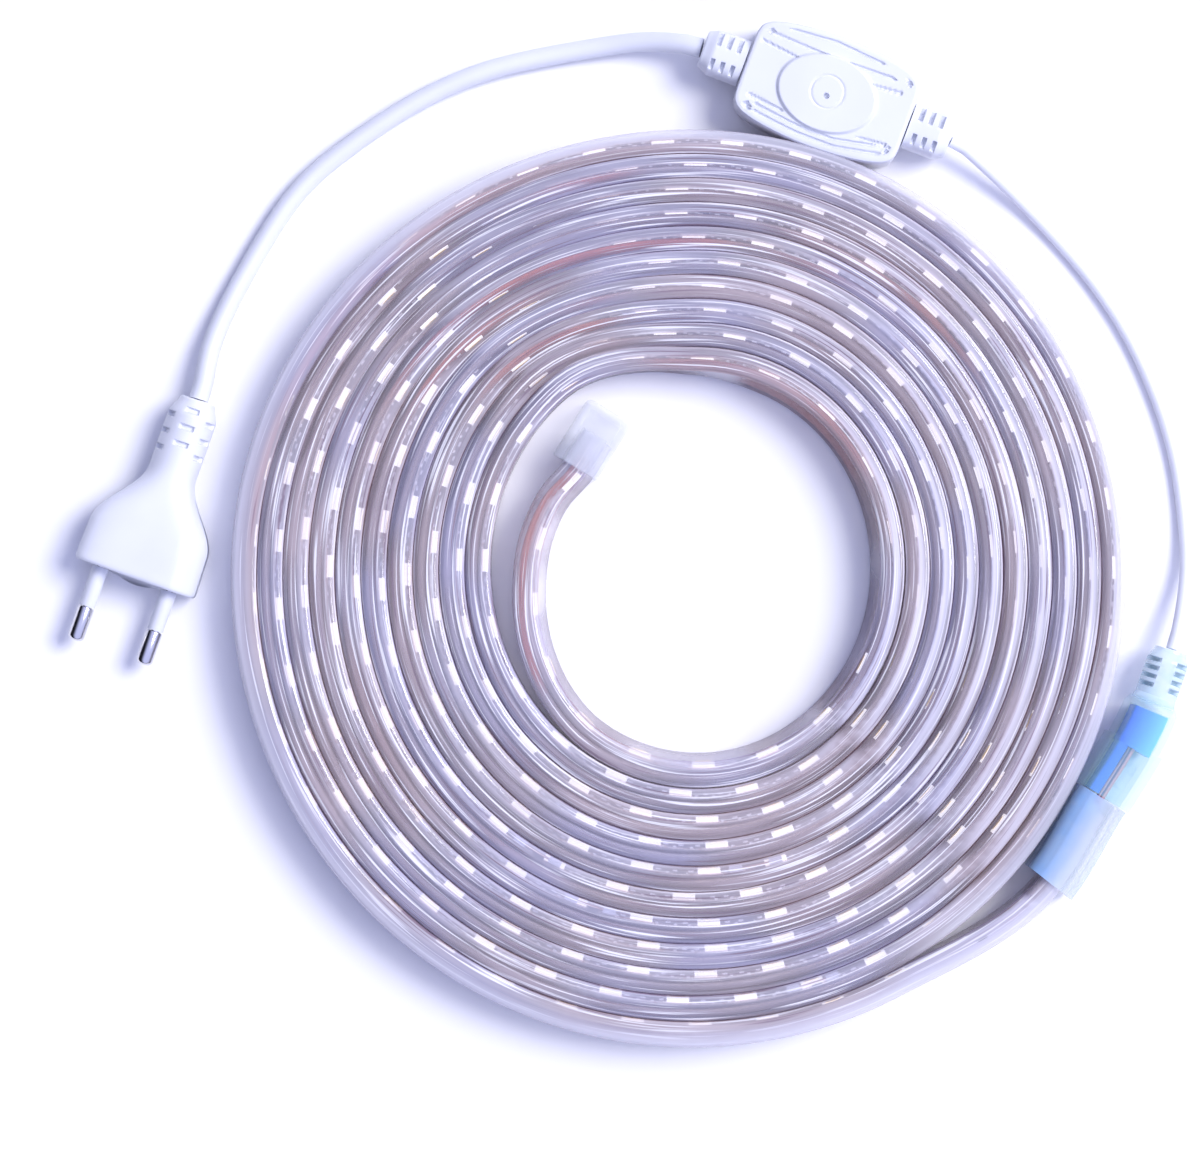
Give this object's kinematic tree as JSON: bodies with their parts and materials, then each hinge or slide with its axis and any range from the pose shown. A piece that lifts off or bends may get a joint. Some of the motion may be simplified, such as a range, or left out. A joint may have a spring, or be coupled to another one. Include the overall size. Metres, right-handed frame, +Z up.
{
  "type": "led strip light",
  "caption": "Clear LED strip wound on its edge into a flat coil, with an end cap, a power connector, an in-line rectifier box, cords and a mains plug.",
  "frame": {"origin": "middle of the coil in plan, on the plane that everything lies on", "axes": "+Z up, along the coil's own axis; +Y from the coil towards the rectifier box; +X from the plug's side towards the connector's side"},
  "size_m": [0.2718, 0.2455, 0.017],
  "materials": {
    "clear_strip": "clear, glossy",
    "clear_cap": "clear, glossy",
    "tinted_clear": "clear with a pale blue-green tint, glossy",
    "blue_core": "strong blue, glossy",
    "contact_copper": "bare copper alloy",
    "white_plastic": "white, half gloss",
    "white_cord": "white, smooth cable jacket",
    "nickel": "bright nickel plating"
  },
  "bodies": {
    "root": {"strip_coil": "clear_strip", "end_cap": "clear_cap", "connector_sleeve": "tinted_clear", "connector_body": "tinted_clear", "connector_core": "blue_core", "connector_contact_lower": "contact_copper", "connector_contact_upper": "contact_copper", "strip_cord": "white_cord", "rectifier_base": "white_plastic", "rectifier_cover": "white_plastic", "rectifier_relief_plug_side": "white_plastic", "rectifier_relief_strip_side": "white_plastic", "plug_cord": "white_cord", "plug_body": "white_plastic", "plug_sleeve_left": "white_plastic", "plug_sleeve_right": "white_plastic", "plug_pin_left": "nickel", "plug_pin_right": "nickel"}
  },
  "joints": []
}
